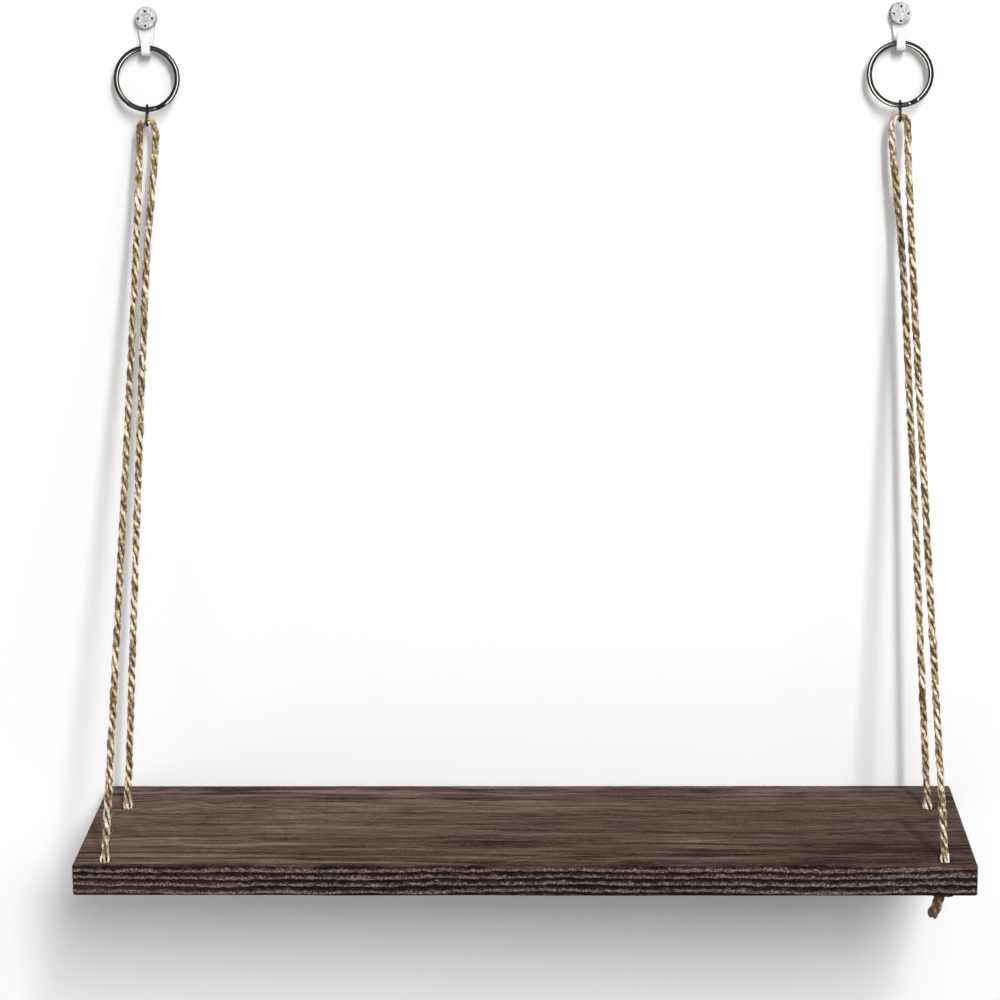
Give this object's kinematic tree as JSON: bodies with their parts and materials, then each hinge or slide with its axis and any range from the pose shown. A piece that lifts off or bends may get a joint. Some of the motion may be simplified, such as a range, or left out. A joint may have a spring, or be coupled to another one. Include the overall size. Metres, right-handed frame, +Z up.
{
  "type": "hanging rope shelf",
  "caption": "Wooden board slung level from two wall hooks by doubled jute ropes, with a split ring and a small link above each rope.",
  "frame": {"origin": "on the wall plane, midway between the two hooks, level with the seats that the rings hang in", "axes": "+Z up, +X to the right along the board, +Y into the wall, so the front faces -Y"},
  "size_m": [0.43, 0.1285, 0.4261],
  "materials": {
    "wood": "torched and wire-brushed, dark brown",
    "jute": "three-strand twisted jute, natural straw colour",
    "bronze": "dark bronze plating, glossy",
    "plastic": "moulded white plastic",
    "steel": "dark hardened steel"
  },
  "bodies": {
    "wall_hooks": {"left_hook": "plastic", "left_nail_1": "steel", "left_nail_2": "steel", "left_nail_3": "steel", "left_nail_4": "steel", "right_hook": "plastic", "right_nail_1": "steel", "right_nail_2": "steel", "right_nail_3": "steel", "right_nail_4": "steel"},
    "left_ring_body": {"left_ring": "bronze"},
    "right_ring_body": {"right_ring": "bronze"},
    "left_link_body": {"left_link": "bronze"},
    "right_link_body": {"right_link": "bronze"},
    "left_rope_body": {"left_rope": "jute"},
    "right_rope_body": {"right_rope": "jute"},
    "shelf": {"board": "wood", "left_rope_front_end": "jute", "left_rope_rear_end": "jute", "right_rope_front_end": "jute", "right_rope_rear_end": "jute"}
  },
  "joints": [
    {"name": "left_ring_swing", "type": "hinge", "parent": "wall_hooks", "child": "left_ring_body", "pos_m": [-0.182, -0.00385, 0], "axis": [-1, 0, 0], "range_deg": [0, 60]},
    {"name": "left_link_swing", "type": "hinge", "parent": "left_ring_body", "child": "left_link_body", "pos_m": [-0.182, -0.00814, -0.02929], "axis": [-1, 0, 0], "range_deg": [0, 25]},
    {"name": "left_rope_sway", "type": "hinge", "parent": "left_link_body", "child": "left_rope_body", "pos_m": [-0.182, -0.00929, -0.03716], "axis": [0, 1, 0], "range_deg": [-8, 8]},
    {"name": "right_ring_swing", "type": "hinge", "parent": "wall_hooks", "child": "right_ring_body", "pos_m": [0.182, -0.00385, 0], "axis": [-1, 0, 0], "range_deg": [0, 60]},
    {"name": "right_link_swing", "type": "hinge", "parent": "right_ring_body", "child": "right_link_body", "pos_m": [0.182, -0.00814, -0.02929], "axis": [-1, 0, 0], "range_deg": [0, 25]},
    {"name": "right_rope_sway", "type": "hinge", "parent": "right_link_body", "child": "right_rope_body", "pos_m": [0.182, -0.00929, -0.03716], "axis": [0, 1, 0], "range_deg": [-8, 8]},
    {"name": "shelf_level", "type": "hinge", "parent": "left_rope_body", "child": "shelf", "pos_m": [-0.2003, -0.073, -0.376], "axis": [0, 1, 0], "range_deg": [-7.5, 7.5]}
  ],
  "couplings": [
    {"joint": "right_ring_swing", "follows": "left_ring_swing", "ratio": 1},
    {"joint": "right_link_swing", "follows": "left_link_swing", "ratio": 1},
    {"joint": "right_rope_sway", "follows": "left_rope_sway", "ratio": 1},
    {"joint": "shelf_level", "follows": "left_rope_sway", "ratio": -0.90864}
  ]
}
